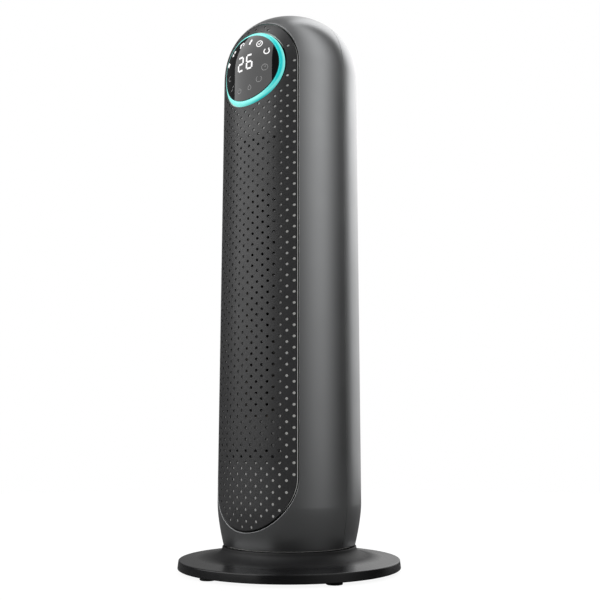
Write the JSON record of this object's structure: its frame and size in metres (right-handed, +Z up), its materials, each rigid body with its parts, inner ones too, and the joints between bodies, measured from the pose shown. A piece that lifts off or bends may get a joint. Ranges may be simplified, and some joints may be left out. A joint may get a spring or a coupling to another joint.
{
  "type": "ceramic tower space heater",
  "caption": "Domed cylindrical tower heater with a perforated curved front, a round lit display and a flat round base on which the tower swivels.",
  "frame": {"origin": "on the floor, on the swivel axis, in the middle of the round base", "axes": "+Z up along the swivel axis, front of the tower towards -Y, +X to the right of someone facing the front"},
  "size_m": [0.2446, 0.2442, 0.6434],
  "materials": {
    "gunmetal": "satin metallic paint over moulded plastic",
    "base_black": "semi-gloss",
    "grille_grey": "satin",
    "display_black": "polished",
    "ring_cyan": "translucent, lit from inside",
    "natural_white": "moulded",
    "black_plastic": "moulded",
    "rocker_black": "polished",
    "soft_black": "matt",
    "zinc_plate": "zinc plated",
    "ballast_iron": "as cast, painted",
    "steel": "plain",
    "fin_aluminium": "rolled",
    "ptc_ceramic": "fired, unglazed",
    "bush_bronze": "sintered",
    "board_green": "solder mask",
    "filter_mesh": "woven mesh"
  },
  "bodies": {
    "base": {"base_cover": "base_black", "base_plate": "zinc_plate", "ballast_weight": "ballast_iron", "pivot_post": "black_plastic", "fixed_gear": "natural_white", "slide_ring": "natural_white", "pivot_keeper_ring": "steel", "cord_inlet_bush": "soft_black", "base_foot_1": "soft_black", "base_foot_2": "soft_black", "base_foot_3": "soft_black", "base_foot_4": "soft_black", "base_foot_5": "soft_black", "base_screw_1": "steel", "base_screw_2": "steel", "base_screw_3": "steel"},
    "tower": {"blower_floor": "black_plastic", "blower_motor": "steel", "blower_roof": "black_plastic", "blower_tongue": "black_plastic", "blower_volute": "black_plastic", "display_board": "board_green", "display_housing": "black_plastic", "display_lens": "display_black", "filter_capacitor": "natural_white", "fins_left": "fin_aluminium", "fins_right": "fin_aluminium", "front_grille": "grille_grey", "front_shell": "gunmetal", "grille_carrier": "natural_white", "handle_cup": "black_plastic", "heater_end_lower": "ptc_ceramic", "heater_end_upper": "ptc_ceramic", "intake_filter": "filter_mesh", "intake_grille": "grille_grey", "light_ring": "ring_cyan", "outlet_duct": "black_plastic", "power_board": "board_green", "ptc_bar_1": "ptc_ceramic", "ptc_bar_2": "ptc_ceramic", "ptc_bar_3": "ptc_ceramic", "rear_shell": "gunmetal", "shaft_bush": "bush_bronze", "shell_screw_1": "steel", "shell_screw_2": "steel", "shell_screw_3": "steel", "shell_screw_4": "steel", "switch_case": "black_plastic", "swivel_motor": "steel", "thermal_cutout": "steel", "tilt_switch_bracket": "zinc_plate", "triac_heat_sink": "fin_aluminium", "turntable_plate": "zinc_plate", "wiring_loom": "soft_black"},
    "swivel_pinion": {"swivel_pinion": "natural_white"},
    "impeller": {"impeller_drum": "black_plastic", "impeller_shaft": "steel"},
    "power_rocker": {"power_rocker": "rocker_black"},
    "tilt_pendulum": {"tilt_pendulum": "steel"}
  },
  "joints": [
    {"name": "tower_swivel", "type": "hinge", "parent": "base", "child": "tower", "pos_m": [0, 0, 0.027], "axis": [0, 0, 1], "range_deg": [-35, 35]},
    {"name": "pinion_turn", "type": "hinge", "parent": "tower", "child": "swivel_pinion", "pos_m": [0, 0.0315, 0.019], "axis": [0, 0, 1], "range_deg": [-90, 90]},
    {"name": "impeller_spin", "type": "hinge", "parent": "tower", "child": "impeller", "pos_m": [0, 0.016, 0.297], "axis": [0, 0, 1], "continuous": true},
    {"name": "power_rocker_tilt", "type": "hinge", "parent": "tower", "child": "power_rocker", "pos_m": [0, 0.0745, 0.092], "axis": [1, 0, 0], "range_deg": [-16, 0]},
    {"name": "tilt_switch_swing", "type": "hinge", "parent": "tower", "child": "tilt_pendulum", "pos_m": [-0.04, -0.024, 0.058], "axis": [1, 0, 0], "range_deg": [-14, 14]}
  ],
  "couplings": [
    {"joint": "pinion_turn", "follows": "tower_swivel", "ratio": 2.5}
  ]
}
